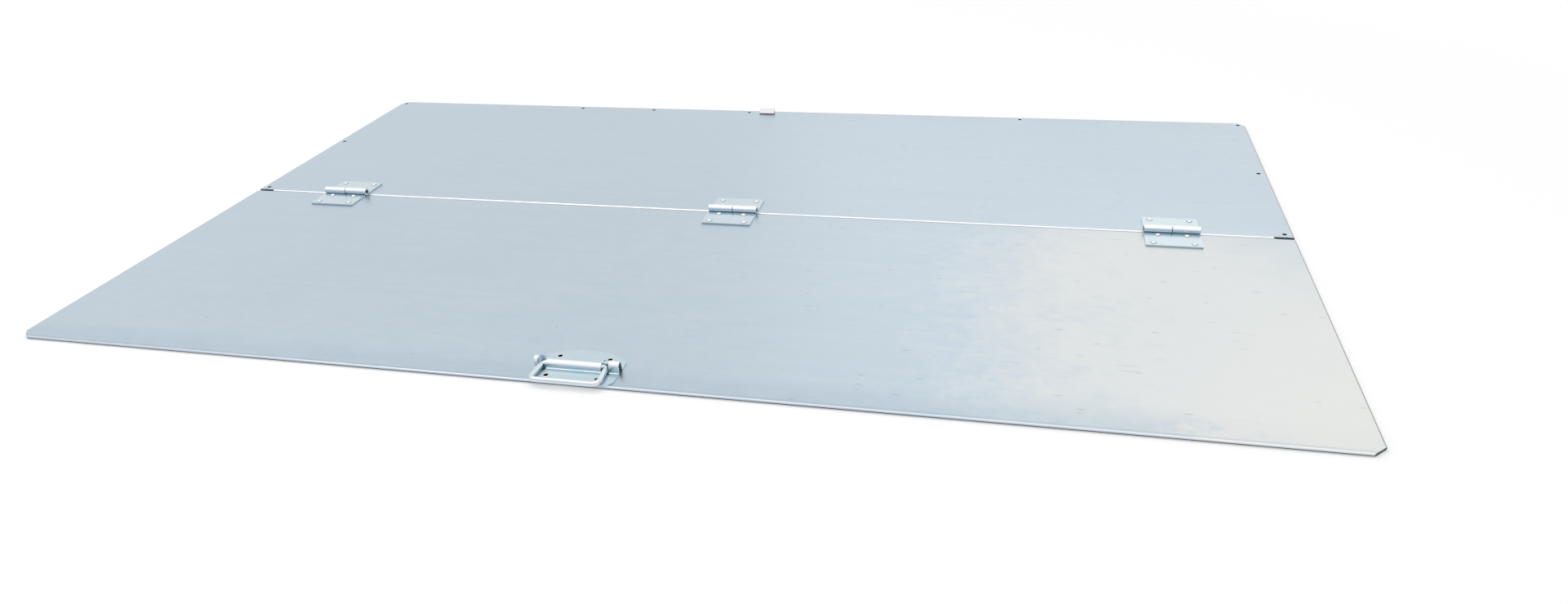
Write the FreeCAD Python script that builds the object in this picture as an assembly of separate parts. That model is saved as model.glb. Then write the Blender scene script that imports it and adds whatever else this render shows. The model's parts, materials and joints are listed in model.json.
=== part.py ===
import FreeCAD
import Part
import math
import os

# Folding access cover: two hemmed steel leaves, three hinges and a drop handle.
# Millimetres. +Z is up, the lifting edge is toward -Y, and the hems rest on z = 0.

# Leaves
COVER_WIDTH = 1700.0
COVER_DEPTH = 1000.0
FRONT_LEAF_DEPTH = 508.5
JOINT_GAP = 3.0
SHEET = 2.0
HEM_GAP = 0.4
HEM_WIDTH = 24.0
HEM_CORNER_GAP = 0.8
CORNER_CLIP = 15.0
JOINT_RELIEF = 28.0

# Fixing holes in the rear leaf
FIXING_HOLE_R = 3.25
FIXING_INSET = 12.0
REAR_ROW_X = [-430.5, -275.7, -75.1, 452.6]

# Hinges
HINGE_LEFT_INSET = 178.0
HINGE_RIGHT_INSET = 167.0
HINGE_MIDDLE_X = 22.0
HINGE_WIDTH = 78.0
HINGE_REACH = 48.0
HINGE_SHEET = 2.5
HINGE_CORNER_R = 2.0
PIN_R = 3.5
PIN_RUNNING_FIT = 0.05
PIN_PROUD = 0.6
PIN_CHAMFER = 0.5
KNUCKLE_SPLIT = 1.0
KNUCKLE_CLEARANCE = 1.0
ROLL_GAP = 0.7

# Hinge rivets
RIVET_HEAD_R = 4.6
RIVET_HEAD_H = 2.0
RIVET_SHANK_R = 2.4
RIVET_TAIL_R = 3.8
RIVET_TAIL_H = 1.4
NEAR_RIVET_X = 20.0
NEAR_RIVET_Y = 13.0
FAR_RIVET_X = 28.0
FAR_RIVET_Y = 39.5

# Handle
HANDLE_X = -44.0
HANDLE_SETBACK = 32.5
HANDLE_SHEET = 1.75
HANDLE_WIDTH = 109.5
HANDLE_REAR_SIDE = 23.0
HANDLE_REAR_ARCH = 18.0
HANDLE_FRONT_CORNER_R = 12.0
HANDLE_REAR_CORNER_R = 4.0
TUNNEL_FOOT_R = 2.0
LOOP_RISE = 4.0
WIRE_R = 3.5
WIRE_CLEARANCE = 0.3
BAIL_OFFSET = -4.0
BAIL_ARM_X = 41.5
BAIL_SPLAY = 2.5
BAIL_REACH = 37.5
BAIL_CORNER_R = 8.0
BAIL_END_R = 6.0
BAIL_END_X = 16.0
SLOT_SIDE_CLEARANCE = 1.0

# Hollow handle rivets
TUBE_HEAD_R = 4.2
TUBE_HEAD_H = 0.8
TUBE_HEAD_RIM = 0.4
TUBE_HEAD_BEVEL = 0.6
TUBE_MOUTH = 0.5
TUBE_R = 3.3
TUBE_BORE_R = 2.6
TUBE_FLARE_R = 4.4
TUBE_FLARE_H = 1.2
TUBE_X = 33.0
TUBE_Y = 22.0

# Rear lug
LUG_X = -37.5
LUG_WIDTH = 29.5
LUG_SETBACK = 19.5
LUG_DEPTH = 11.0
LUG_LIP = 2.5
LUG_HEIGHT = 9.5
LUG_EDGE_R = 0.8

# How far a cutting tool passes the faces that it cuts
OVERCUT = 1.0

# Derived levels and lines
NOSE_R = SHEET + HEM_GAP / 2.0
LEAF_TOP = 2.0 * NOSE_R
REAR_LEAF_DEPTH = COVER_DEPTH - FRONT_LEAF_DEPTH - JOINT_GAP
BAIL_OVERHANG = BAIL_REACH + WIRE_R - HANDLE_SETBACK
FRONT_Y = -(COVER_DEPTH - BAIL_OVERHANG) / 2.0
REAR_Y = FRONT_Y + COVER_DEPTH
HALF_WIDTH = COVER_WIDTH / 2.0
KNUCKLE_R = PIN_R + HINGE_SHEET
HINGE_Y = FRONT_Y + FRONT_LEAF_DEPTH + JOINT_GAP / 2.0
HINGE_Z = LEAF_TOP + KNUCKLE_R
HINGE_X = {
    "left": -HALF_WIDTH + HINGE_LEFT_INSET,
    "middle": HINGE_MIDDLE_X,
    "right": HALF_WIDTH - HINGE_RIGHT_INSET,
}
TUNNEL_R = WIRE_R + WIRE_CLEARANCE
TUNNEL_OUTER_R = TUNNEL_R + HANDLE_SHEET
HANDLE_Y = FRONT_Y + HANDLE_SETBACK
HANDLE_Z = LEAF_TOP + HANDLE_SHEET + WIRE_CLEARANCE + WIRE_R


def point(x, y, z):
    return FreeCAD.Vector(x, y, z)


def line(a, b):
    return Part.makeLine(a, b)


def arc(a, mid, b):
    return Part.Arc(a, mid, b).toShape()


def solid(edges, direction):
    return Part.Face(Part.Wire(edges)).extrude(direction)


def block(x0, x1, y0, y1, z0, z1):
    return Part.makeBox(x1 - x0, y1 - y0, z1 - z0, point(x0, y0, z0))


def polygon_prism(corners, z0, z1):
    points = [point(x, y, z0) for x, y in corners]
    points.append(points[0])
    return Part.Face(Part.makePolygon(points)).extrude(point(0, 0, z1 - z0))


def rod(radius, x, y, z0, z1):
    return Part.makeCylinder(radius, z1 - z0, point(x, y, z0))


def turned(profile, x, y):
    points = [point(r, 0, z) for r, z in profile]
    points.append(points[0])
    body = Part.Face(Part.makePolygon(points)).revolve(point(0, 0, 0), point(0, 0, 1), 360)
    body.translate(point(x, y, 0))
    return body


def upright_edges(shape):
    found = []
    for edge in shape.Edges:
        ends = [vertex.Point for vertex in edge.Vertexes]
        if len(ends) == 2 and math.hypot(ends[0].x - ends[1].x, ends[0].y - ends[1].y) < 1e-6:
            found.append(edge)
    return found


# A hem is the sheet folded back under itself, with its edge on y = 0 and its return toward +Y.
def hem(x0, x1):
    inner_r = HEM_GAP / 2.0
    top_out = point(x0, NOSE_R, LEAF_TOP)
    nose = point(x0, 0, NOSE_R)
    foot = point(x0, NOSE_R, 0)
    tip_low = point(x0, HEM_WIDTH, 0)
    tip_high = point(x0, HEM_WIDTH, SHEET)
    return_top = point(x0, NOSE_R, SHEET)
    inner_nose = point(x0, NOSE_R - inner_r, NOSE_R)
    top_in = point(x0, NOSE_R, LEAF_TOP - SHEET)
    edges = [
        arc(top_out, nose, foot),
        line(foot, tip_low),
        line(tip_low, tip_high),
        line(tip_high, return_top),
        arc(return_top, inner_nose, top_in),
        line(top_in, top_out),
    ]
    return solid(edges, point(x1 - x0, 0, 0))


# One leaf with its outer edge on y = 0 and its joint edge at y = depth.
def leaf(depth):
    flat_end = depth - NOSE_R
    body = block(-HALF_WIDTH + NOSE_R, HALF_WIDTH - NOSE_R, NOSE_R, flat_end, LEAF_TOP - SHEET, LEAF_TOP)
    outer_limit = HALF_WIDTH - NOSE_R - HEM_CORNER_GAP
    outer_hem = hem(-outer_limit, outer_limit)
    right_hem = hem(0, flat_end)
    right_hem.rotate(point(0, 0, 0), point(0, 0, 1), 90)
    right_hem.translate(point(HALF_WIDTH, 0, 0))
    left_hem = hem(-flat_end, 0)
    left_hem.rotate(point(0, 0, 0), point(0, 0, 1), -90)
    left_hem.translate(point(-HALF_WIDTH, 0, 0))
    joint_limit = HALF_WIDTH - JOINT_RELIEF
    joint_hem = hem(-joint_limit, joint_limit)
    joint_hem.rotate(point(0, 0, 0), point(0, 0, 1), 180)
    joint_hem.translate(point(0, depth, 0))
    butt_end = HEM_WIDTH + HEM_CORNER_GAP
    trim_in = HALF_WIDTH - NOSE_R
    trim_out = HALF_WIDTH - HEM_WIDTH - OVERCUT
    right_hem = right_hem.cut(block(trim_out, trim_in, -OVERCUT, butt_end, -OVERCUT, NOSE_R))
    left_hem = left_hem.cut(block(-trim_in, -trim_out, -OVERCUT, butt_end, -OVERCUT, NOSE_R))
    body = body.fuse([outer_hem, right_hem, left_hem, joint_hem]).removeSplitter()
    for side in (-1.0, 1.0):
        tip = side * (HALF_WIDTH + OVERCUT)
        inner = side * (HALF_WIDTH - CORNER_CLIP - OVERCUT)
        corners = [(tip, -OVERCUT), (inner, -OVERCUT), (tip, CORNER_CLIP + OVERCUT)]
        body = body.cut(polygon_prism(corners, -OVERCUT, LEAF_TOP + OVERCUT))
    return body


# A rolled hinge plate. Local frame: the pin lies along X through the origin, the flat lies toward -Y.
def hinge_plate(bore_r):
    half = HINGE_WIDTH / 2.0
    split = KNUCKLE_SPLIT / 2.0
    start = -half
    top = HINGE_SHEET - KNUCKLE_R
    bottom = -math.pi / 2.0
    seat = bottom - math.acos(-top / bore_r)
    end = math.pi + math.asin((PIN_R - ROLL_GAP) / KNUCKLE_R)
    far = (bottom + end) / 2.0

    def ring(radius, angle):
        return point(start, radius * math.cos(angle), radius * math.sin(angle))

    heel = point(start, -HINGE_REACH, -KNUCKLE_R)
    toe = point(start, -HINGE_REACH, top)
    edges = [
        line(heel, ring(KNUCKLE_R, bottom)),
        arc(ring(KNUCKLE_R, bottom), ring(KNUCKLE_R, far), ring(KNUCKLE_R, end)),
        line(ring(KNUCKLE_R, end), ring(bore_r, end)),
        arc(ring(bore_r, end), ring(bore_r, far), ring(bore_r, seat)),
        line(ring(bore_r, seat), toe),
        line(toe, heel),
    ]
    rolled = solid(edges, point(half - split, 0, 0))
    clear = KNUCKLE_R + KNUCKLE_CLEARANCE
    flat = block(-split - OVERCUT, half, -HINGE_REACH, -clear, -KNUCKLE_R, top)
    plate = rolled.fuse(flat).removeSplitter()
    corners = [edge for edge in upright_edges(plate) if edge.BoundBox.YMax < OVERCUT - HINGE_REACH]
    return plate.makeFillet(HINGE_CORNER_R, corners)


def in_hem(edge_distance):
    return edge_distance < HEM_WIDTH


def rivet_spots():
    spots = []
    for side in (-1.0, 1.0):
        spots.append((side * NEAR_RIVET_X, NEAR_RIVET_Y))
        spots.append((side * FAR_RIVET_X, FAR_RIVET_Y))
    return spots


# A domed rivet. Through a hem its tail is set flush with the underside; elsewhere it is a low disc.
def hinge_rivet(x, y, hemmed):
    seat = LEAF_TOP + HINGE_SHEET
    rise = RIVET_HEAD_H
    dome_r = (RIVET_HEAD_R ** 2 + rise ** 2) / (2.0 * rise)
    dome = Part.makeSphere(dome_r, point(x, y, seat + rise - dome_r))
    head = dome.common(rod(RIVET_HEAD_R + OVERCUT, x, y, seat, seat + rise + OVERCUT))
    if hemmed:
        tail = Part.makeCone(RIVET_TAIL_R, RIVET_SHANK_R, RIVET_TAIL_H, point(x, y, 0))
        shank = rod(RIVET_SHANK_R, x, y, RIVET_TAIL_H, seat)
    else:
        under = LEAF_TOP - SHEET
        tail = Part.makeCone(RIVET_SHANK_R, RIVET_TAIL_R, RIVET_TAIL_H, point(x, y, under - RIVET_TAIL_H))
        shank = rod(RIVET_SHANK_R, x, y, under, seat)
    return head.fuse([shank, tail]).removeSplitter()


def rivet_hole(x, y, hemmed):
    hole = rod(RIVET_SHANK_R, x, y, -OVERCUT, LEAF_TOP + HINGE_SHEET + OVERCUT)
    if not hemmed:
        return hole
    sink = Part.makeCone(RIVET_TAIL_R, RIVET_SHANK_R, RIVET_TAIL_H, point(x, y, 0))
    return hole.fuse(sink)


# A hollow rivet: ring head on the handle plate, tube through the sheet, flare underneath.
def tube_rivet(x, y, hemmed):
    seat = LEAF_TOP + HANDLE_SHEET
    crown = seat + TUBE_HEAD_H
    head = [
        (TUBE_R, seat),
        (TUBE_HEAD_R, seat),
        (TUBE_HEAD_R, seat + TUBE_HEAD_RIM),
        (TUBE_HEAD_R - TUBE_HEAD_BEVEL, crown),
    ]
    mouth = [(TUBE_BORE_R + TUBE_MOUTH, crown), (TUBE_BORE_R, crown - TUBE_MOUTH)]
    if hemmed:
        tail = [(TUBE_BORE_R, 0.0), (TUBE_FLARE_R, 0.0), (TUBE_R, TUBE_FLARE_H)]
    else:
        under = LEAF_TOP - SHEET
        low = under - TUBE_FLARE_H
        tail = [(TUBE_BORE_R, low), (TUBE_FLARE_R, low), (TUBE_FLARE_R, under), (TUBE_R, under)]
    return turned(head + mouth + tail, x, y)


def tube_hole(x, y, hemmed):
    hole = rod(TUBE_R, x, y, -OVERCUT, LEAF_TOP + HANDLE_SHEET + OVERCUT)
    if not hemmed:
        return hole
    sink = Part.makeCone(TUBE_FLARE_R, TUBE_R, TUBE_FLARE_H, point(x, y, 0))
    return hole.fuse(sink)


# The stamped section of the handle plate from x0 to x1, its tunnel raised by a given amount.
# Local frame: the wire axis lies along X through the origin.
def stamped_section(x0, x1, rise):
    deep = max(HANDLE_SETBACK, HANDLE_REAR_SIDE + HANDLE_REAR_ARCH) + OVERCUT
    base = LEAF_TOP - HANDLE_Z
    top = base + HANDLE_SHEET
    bend_y = TUNNEL_OUTER_R + TUNNEL_FOOT_R
    bend_z = top + TUNNEL_FOOT_R
    under_r = TUNNEL_FOOT_R + HANDLE_SHEET
    slant = math.sqrt(0.5)

    def spot(y, z):
        return point(x0, y, z)

    edges = [
        line(spot(-deep, base), spot(-bend_y, base)),
        arc(
            spot(-bend_y, base),
            spot(-bend_y + under_r * slant, bend_z - under_r * slant),
            spot(-TUNNEL_R, bend_z),
        ),
        line(spot(-TUNNEL_R, bend_z), spot(-TUNNEL_R, rise)),
        arc(spot(-TUNNEL_R, rise), spot(0, rise + TUNNEL_R), spot(TUNNEL_R, rise)),
        line(spot(TUNNEL_R, rise), spot(TUNNEL_R, bend_z)),
        arc(
            spot(TUNNEL_R, bend_z),
            spot(bend_y - under_r * slant, bend_z - under_r * slant),
            spot(bend_y, base),
        ),
        line(spot(bend_y, base), spot(deep, base)),
        line(spot(deep, base), spot(deep, top)),
        line(spot(deep, top), spot(bend_y, top)),
        arc(
            spot(bend_y, top),
            spot(bend_y - TUNNEL_FOOT_R * slant, bend_z - TUNNEL_FOOT_R * slant),
            spot(TUNNEL_OUTER_R, bend_z),
        ),
        line(spot(TUNNEL_OUTER_R, bend_z), spot(TUNNEL_OUTER_R, rise)),
        arc(spot(TUNNEL_OUTER_R, rise), spot(0, rise + TUNNEL_OUTER_R), spot(-TUNNEL_OUTER_R, rise)),
        line(spot(-TUNNEL_OUTER_R, rise), spot(-TUNNEL_OUTER_R, bend_z)),
        arc(
            spot(-TUNNEL_OUTER_R, bend_z),
            spot(-bend_y + TUNNEL_FOOT_R * slant, bend_z - TUNNEL_FOOT_R * slant),
            spot(-bend_y, top),
        ),
        line(spot(-bend_y, top), spot(-deep, top)),
        line(spot(-deep, top), spot(-deep, base)),
    ]
    return solid(edges, point(x1 - x0, 0, 0))


# Plan of the handle plate as a tall prism: straight along the leaf's edge, arched behind.
def handle_outline(low, high):
    half = HANDLE_WIDTH / 2.0
    crest = HANDLE_REAR_SIDE + HANDLE_REAR_ARCH
    front_right = point(half, -HANDLE_SETBACK, low)
    rear_right = point(half, HANDLE_REAR_SIDE, low)
    rear_left = point(-half, HANDLE_REAR_SIDE, low)
    front_left = point(-half, -HANDLE_SETBACK, low)
    edges = [
        line(front_right, rear_right),
        arc(rear_right, point(0, crest, low), rear_left),
        line(rear_left, front_left),
        line(front_left, front_right),
    ]
    prism = solid(edges, point(0, 0, high - low))
    front_corners = [edge for edge in upright_edges(prism) if edge.BoundBox.YMax < 0.0]
    prism = prism.makeFillet(HANDLE_FRONT_CORNER_R, front_corners)
    rear_corners = [edge for edge in upright_edges(prism) if edge.BoundBox.YMin > 0.0]
    return prism.makeFillet(HANDLE_REAR_CORNER_R, rear_corners)


# Stamped handle plate: a low tunnel for the wire between two taller loops, and a slot for each arm.
def handle_plate():
    half = HANDLE_WIDTH / 2.0
    top = LEAF_TOP - HANDLE_Z + HANDLE_SHEET
    high = LOOP_RISE + TUNNEL_OUTER_R + OVERCUT
    inner = BAIL_ARM_X - BAIL_END_R
    outer = BAIL_ARM_X + WIRE_R + SLOT_SIDE_CLEARANCE
    middle = stamped_section(BAIL_OFFSET - inner, BAIL_OFFSET + inner, 0.0)
    left_loop = stamped_section(-half, BAIL_OFFSET - inner, LOOP_RISE)
    right_loop = stamped_section(BAIL_OFFSET + inner, half, LOOP_RISE)
    plate = middle.fuse([left_loop, right_loop]).removeSplitter()
    plate = plate.common(handle_outline(LEAF_TOP - HANDLE_Z - OVERCUT, high))
    slot_front = -TUNNEL_OUTER_R - TUNNEL_FOOT_R
    for hand in (-1.0, 1.0):
        x0 = BAIL_OFFSET + min(hand * inner, hand * outer)
        x1 = BAIL_OFFSET + max(hand * inner, hand * outer)
        plate = plate.cut(block(x0, x1, slot_front, TUNNEL_R, top, high))
    return plate


# Straight runs in the plane z = 0, joined by tangent arcs of the given radii.
def rounded_path(corners, radii):
    points = [point(x, y, 0) for x, y in corners]
    edges = []
    start = points[0]
    for before, corner, after, radius in zip(points, points[1:], points[2:], radii):
        along = (corner - before).normalize()
        away = (after - corner).normalize()
        half_turn = along.getAngle(away) / 2.0
        trim = radius * math.tan(half_turn)
        inward = (away - along).normalize()
        enter = corner - along * trim
        middle = corner + inward * (radius / math.cos(half_turn) - radius)
        leave = corner + away * trim
        edges.append(line(start, enter))
        edges.append(arc(enter, middle, leave))
        start = leave
    edges.append(line(start, points[-1]))
    return edges


# Bent wire bail, lying forward, its arms a little splayed. Local frame: the swing axis lies along X.
def handle_bail():
    right = [(BAIL_END_X, 0.0), (BAIL_ARM_X, 0.0), (BAIL_ARM_X + BAIL_SPLAY, -BAIL_REACH)]
    left = [(-x, y) for x, y in reversed(right)]
    path = Part.Wire(rounded_path(right + left, [BAIL_END_R, BAIL_CORNER_R, BAIL_CORNER_R, BAIL_END_R]))
    section = Part.Wire(Part.makeCircle(WIRE_R, point(BAIL_END_X, 0, 0), point(1, 0, 0)))
    return path.makePipeShell([section], True, True)


# Solid lug with a low lip in front and a sloped face behind it.
def rear_lug():
    left = LUG_X - LUG_WIDTH / 2.0
    front = REAR_Y - LUG_SETBACK
    back = front + LUG_DEPTH
    foot = point(left, front, LEAF_TOP)
    lip = point(left, front, LEAF_TOP + LUG_LIP)
    crest = point(left, back, LEAF_TOP + LUG_HEIGHT)
    heel = point(left, back, LEAF_TOP)
    edges = [line(foot, lip), line(lip, crest), line(crest, heel), line(heel, foot)]
    lug = solid(edges, point(LUG_WIDTH, 0, 0))
    return lug.makeFillet(LUG_EDGE_R, [edge for edge in lug.Edges if edge.BoundBox.ZMax > LEAF_TOP + OVERCUT])


def save(shape, name):
    for piece in shape.Solids:
        if not piece.isValid():
            raise ValueError(name + " is not a valid solid")
    shape.exportStep("parts/" + name + ".step")


os.makedirs("parts", exist_ok=True)

front_leaf = leaf(FRONT_LEAF_DEPTH)
front_leaf.translate(point(0, FRONT_Y, 0))
rear_leaf = leaf(REAR_LEAF_DEPTH)
rear_leaf.rotate(point(0, 0, 0), point(0, 0, 1), 180)
rear_leaf.translate(point(0, REAR_Y, 0))

side_x = HALF_WIDTH - FIXING_INSET
rear_row_y = REAR_Y - FIXING_INSET
joint_row_y = REAR_Y - REAR_LEAF_DEPTH + FIXING_INSET
side_row_y = (rear_row_y + joint_row_y) / 2.0
fixing_spots = [(x, rear_row_y) for x in REAR_ROW_X]
for side in (-side_x, side_x):
    for row in (rear_row_y, side_row_y, joint_row_y):
        fixing_spots.append((side, row))
for x, y in fixing_spots:
    rear_leaf = rear_leaf.cut(rod(FIXING_HOLE_R, x, y, -OVERCUT, LEAF_TOP + OVERCUT))

for place, centre in HINGE_X.items():
    front_plate = hinge_plate(PIN_R + PIN_RUNNING_FIT)
    front_plate.translate(point(centre, HINGE_Y, HINGE_Z))
    rear_plate = hinge_plate(PIN_R)
    rear_plate.rotate(point(0, 0, 0), point(0, 0, 1), 180)
    rear_plate.translate(point(centre, HINGE_Y, HINGE_Z))
    front_rivets = []
    rear_rivets = []
    for dx, dy in rivet_spots():
        x = centre + dx
        front_y = HINGE_Y - dy
        rear_y = HINGE_Y + dy
        hemmed = in_hem(dy - JOINT_GAP / 2.0)
        front_rivets.append(hinge_rivet(x, front_y, hemmed))
        rear_rivets.append(hinge_rivet(x, rear_y, hemmed))
        front_hole = rivet_hole(x, front_y, hemmed)
        rear_hole = rivet_hole(x, rear_y, hemmed)
        front_plate = front_plate.cut(front_hole)
        rear_plate = rear_plate.cut(rear_hole)
        front_leaf = front_leaf.cut(front_hole)
        rear_leaf = rear_leaf.cut(rear_hole)
    pin_end = HINGE_WIDTH / 2.0 + PIN_PROUD
    pin = Part.makeCylinder(PIN_R, 2.0 * pin_end, point(centre - pin_end, HINGE_Y, HINGE_Z), point(1, 0, 0))
    pin = pin.makeChamfer(PIN_CHAMFER, [edge for edge in pin.Edges if len(edge.Vertexes) == 1])
    save(front_plate, place + "_hinge_front_plate")
    save(rear_plate, place + "_hinge_rear_plate")
    save(pin, place + "_hinge_pin")
    save(Part.makeCompound(front_rivets), place + "_hinge_front_rivets")
    save(Part.makeCompound(rear_rivets), place + "_hinge_rear_rivets")

plate = handle_plate()
plate.translate(point(HANDLE_X, HANDLE_Y, HANDLE_Z))
tube_rivets = []
for side in (-1.0, 1.0):
    for row in (-1.0, 1.0):
        x = HANDLE_X + side * TUBE_X
        y = HANDLE_Y + row * TUBE_Y
        hemmed = in_hem(y - FRONT_Y)
        tube_rivets.append(tube_rivet(x, y, hemmed))
        hole = tube_hole(x, y, hemmed)
        plate = plate.cut(hole)
        front_leaf = front_leaf.cut(hole)
bail = handle_bail()
bail.translate(point(HANDLE_X + BAIL_OFFSET, HANDLE_Y, HANDLE_Z))

save(front_leaf, "front_leaf")
save(rear_leaf, "rear_leaf")
save(plate, "handle_plate")
save(bail, "handle_bail")
save(Part.makeCompound(tube_rivets), "handle_rivets")
save(rear_lug(), "rear_lug")
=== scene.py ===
"""Dresses a folding access cover: two hemmed galvanised leaves, three hinges, a drop handle and a lug."""

import json
import math

import bmesh
import bpy
from bpy.props import FloatProperty, FloatVectorProperty, IntProperty, PointerProperty
from mathutils import Matrix, Vector
from mathutils.geometry import delaunay_2d_cdt


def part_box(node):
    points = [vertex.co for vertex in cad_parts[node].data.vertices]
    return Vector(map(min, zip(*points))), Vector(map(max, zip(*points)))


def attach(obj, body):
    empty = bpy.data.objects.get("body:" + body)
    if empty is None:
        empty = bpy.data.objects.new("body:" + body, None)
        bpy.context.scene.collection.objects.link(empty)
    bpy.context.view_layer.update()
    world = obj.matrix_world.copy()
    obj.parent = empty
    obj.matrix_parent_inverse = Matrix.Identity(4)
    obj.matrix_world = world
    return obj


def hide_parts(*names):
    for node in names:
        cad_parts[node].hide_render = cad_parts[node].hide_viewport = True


bl_info = {
    "name": "Folding Access Cover",
    "version": (1, 0, 0),
    "blender": (4, 5, 0),
    "location": "View3D > Sidebar > Access Cover",
    "description": "Builds and finishes a folding galvanised access cover round its packed solids",
    "category": "Add Mesh",
}

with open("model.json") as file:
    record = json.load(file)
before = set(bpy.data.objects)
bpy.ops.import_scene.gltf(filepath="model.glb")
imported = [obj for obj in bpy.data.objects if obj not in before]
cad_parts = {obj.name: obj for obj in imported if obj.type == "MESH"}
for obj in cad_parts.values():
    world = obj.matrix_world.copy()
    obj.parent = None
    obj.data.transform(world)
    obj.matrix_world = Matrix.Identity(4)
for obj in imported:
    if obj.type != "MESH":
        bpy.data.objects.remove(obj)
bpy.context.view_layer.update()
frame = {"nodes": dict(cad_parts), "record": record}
FRONT_LOW, FRONT_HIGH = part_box("front_leaf")
REAR_LOW, REAR_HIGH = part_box("rear_leaf")
HINGES = ("left", "middle", "right")
LEAVES = ("front", "rear")
MM = 0.001
WELD = 1e-6
SHARP_EDGE = math.radians(35.0)
WHITE = (1.0, 1.0, 1.0)

# Repeats a metre of the patterns in the sheet's zinc, along X, Y and Z where they differ
CLOUDS = 2.6
MOTTLE = (14.0, 24.0, 1.0)
PATCHES = (36.0, 46.0, 1.0)
STREAKS = (1.6, 95.0, 1.0)
SPANGLE = (70.0, 90.0, 1.0)
SHEET_GRAIN = 1400.0
SCUFFS = (44.0, 120.0, 1.0)
SCRATCHES = (15.0, 190.0, 1.0)
PITS = 26.0

# Bands on the sheet, in metres from the cover's front edge
HEM_BAND = (12.0 * MM, 60.0 * MM)
BLOOM_GLARE_FRONT = (4.0 * MM, 70.0 * MM)
# A thin painted shade line on the top, just behind where the front fold starts to turn down
FOLD_SHADE_START = (1.8 * MM, 2.6 * MM)
FOLD_SHADE_END = (4.0 * MM, 7.0 * MM)
FRONT_FOLD = (20.0 * MM, 100.0 * MM)

# Bands on the sheet, in metres to the right of its middle, or toward one of its right corners
# The pale patch at the right end is part bloomed zinc and part a painted reflection of glare
BLOOM_GLARE_START = (0.30, 0.68)
BLOOM_GLARE_FULL = (0.50, 0.74)
REAR_BLOOM_GLARE = (0.35, 0.85)
JOINT_CORNER = (0.62, 0.92)
FRONT_CORNER = (0.80, 1.15)
HANDLED = (-0.25, 0.40)

# Bands of the mottle, and of height in a fold
HANDLED_MOTTLE = (0.36, 0.62)
UNDER_SHADE_MOTTLE = (0.2, 0.6)
NOSE_MIDDLE = (2.0 * MM, 2.6 * MM)

# Bands of how squarely a surface faces along Z, or along X for the folds at the sides
FOLD_HIGHLIGHT = (0.94, 0.995)
UNDER_FOLD_SHADE = (0.84, 0.99)
UPRIGHT = (0.3, 0.7)
SIDE_FOLD = (0.12, 0.26)

# How strongly each kind of wear, and the painted shade line behind the front fold, shows on the sheet
HEM_DULLNESS = 0.45
RUB_STRENGTH = 0.22
PIT_STRENGTH = 0.35
FOLD_SHADE_STRENGTH = 0.16
DENT_STRENGTH = 0.3

# Roughness, and the depth of each surface's relief in metres
SHEET_ROUGHNESS = 0.36
BLOOM_GLARE_ROUGHNESS = 0.06
CUT_ROUGHNESS = (0.38, 0.55)
SHEET_RELIEF = 0.15 * MM
CUT_RELIEF = 0.05 * MM
PLATING_RELIEF = 0.05 * MM

# Repeats a metre of the patterns in cut edges and zinc plating
SHEAR_LINES = (900.0, 900.0, 120.0)
PLATING_TINT = 38.0
DRAWN_LINES = (60.0, 900.0, 900.0)
PLATING_GRAIN = 2200.0
PLATING_RUBS = (90.0, 420.0, 420.0)

# Painted shade at the foot of the knuckles: distances from the pin's axis, and heights
KNUCKLE_SHADE_INSIDE = (4.8 * MM, 5.3 * MM)
KNUCKLE_SHADE_OUTSIDE = (5.6 * MM, 6.1 * MM)
KNUCKLE_SHADE_TOP = (7.2 * MM, 7.9 * MM)

# Painted shade inside the hollow rivets: radii, and heights
BORE_EDGE = (2.9 * MM, 3.2 * MM)
OVER_TAIL = (FRONT_HIGH.z * 0.5, FRONT_HIGH.z * 0.75)

# Heights above the foot of a piece: the rivets' rise, and bands of painted shade low down and of the
# painted highlight on the tunnel's crown
EDGE_LOW_SHADE = (0.2 * MM, 0.9 * MM)
RIVET_RISE = 2.0 * MM
RIVET_FOOT_SHADE = (0.30 * MM, 0.85 * MM)
TUNNEL_CROWN = (2.0 * MM, 5.5 * MM)
LUG_FOOT_SHADE = (1.2 * MM, 2.2 * MM)

# Softboxes: place, point aimed at, width and height, in metres, and tint
DAYLIGHT = (1.0, 0.94, 0.88)
OVERHEAD = {"place": (-0.6, -0.4, 3.2), "target": (-0.6, -0.2, 0.0), "size": (5.6, 3.4), "tint": WHITE}
WINDOW = {"place": (1.4, 4.0, 2.6), "target": (0.3, -0.1, 0.0), "size": (5.2, 1.9), "tint": DAYLIGHT}
KEY = {"place": (-1.8, -0.2, 3.0), "target": (0.0, -0.1, 0.0), "size": (0.7, 0.7), "tint": WHITE}

# Where the room in front is darker, as parts of a direction, and the floor in metres
SHADE_AHEAD = (-0.75, -0.15)
SHADE_LOW = (0.20, 0.42)
FLOOR_FADE_REACH = (1.2, 4.0)
FLOOR_RADIUS = 40.0
FLOOR_SIDES = 96
FLOOR_DROP = 0.3 * MM

# Camera: width of its sensor in millimetres, and the nearest distance that it sees in metres
SENSOR_WIDTH = 36.0
NEAREST_SEEN = 0.01


def length(name, description, default):
    """A length in metres for a property group."""
    return FloatProperty(
        name=name, description=description, default=default, min=0.0, unit="LENGTH", precision=5
    )


def degrees(name, description, default):
    """An angle, given in degrees, for a property group."""
    return FloatProperty(name=name, description=description, default=math.radians(default), subtype="ANGLE")


def colour(name, description, default):
    """A linear colour for a property group."""
    return FloatVectorProperty(
        name=name, description=description, default=default, size=3, min=0.0, max=1.0, subtype="COLOR"
    )


def amount(name, description, default, low=0.0, high=10.0):
    """A plain number for a property group."""
    return FloatProperty(name=name, description=description, default=default, min=low, max=high)


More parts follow.
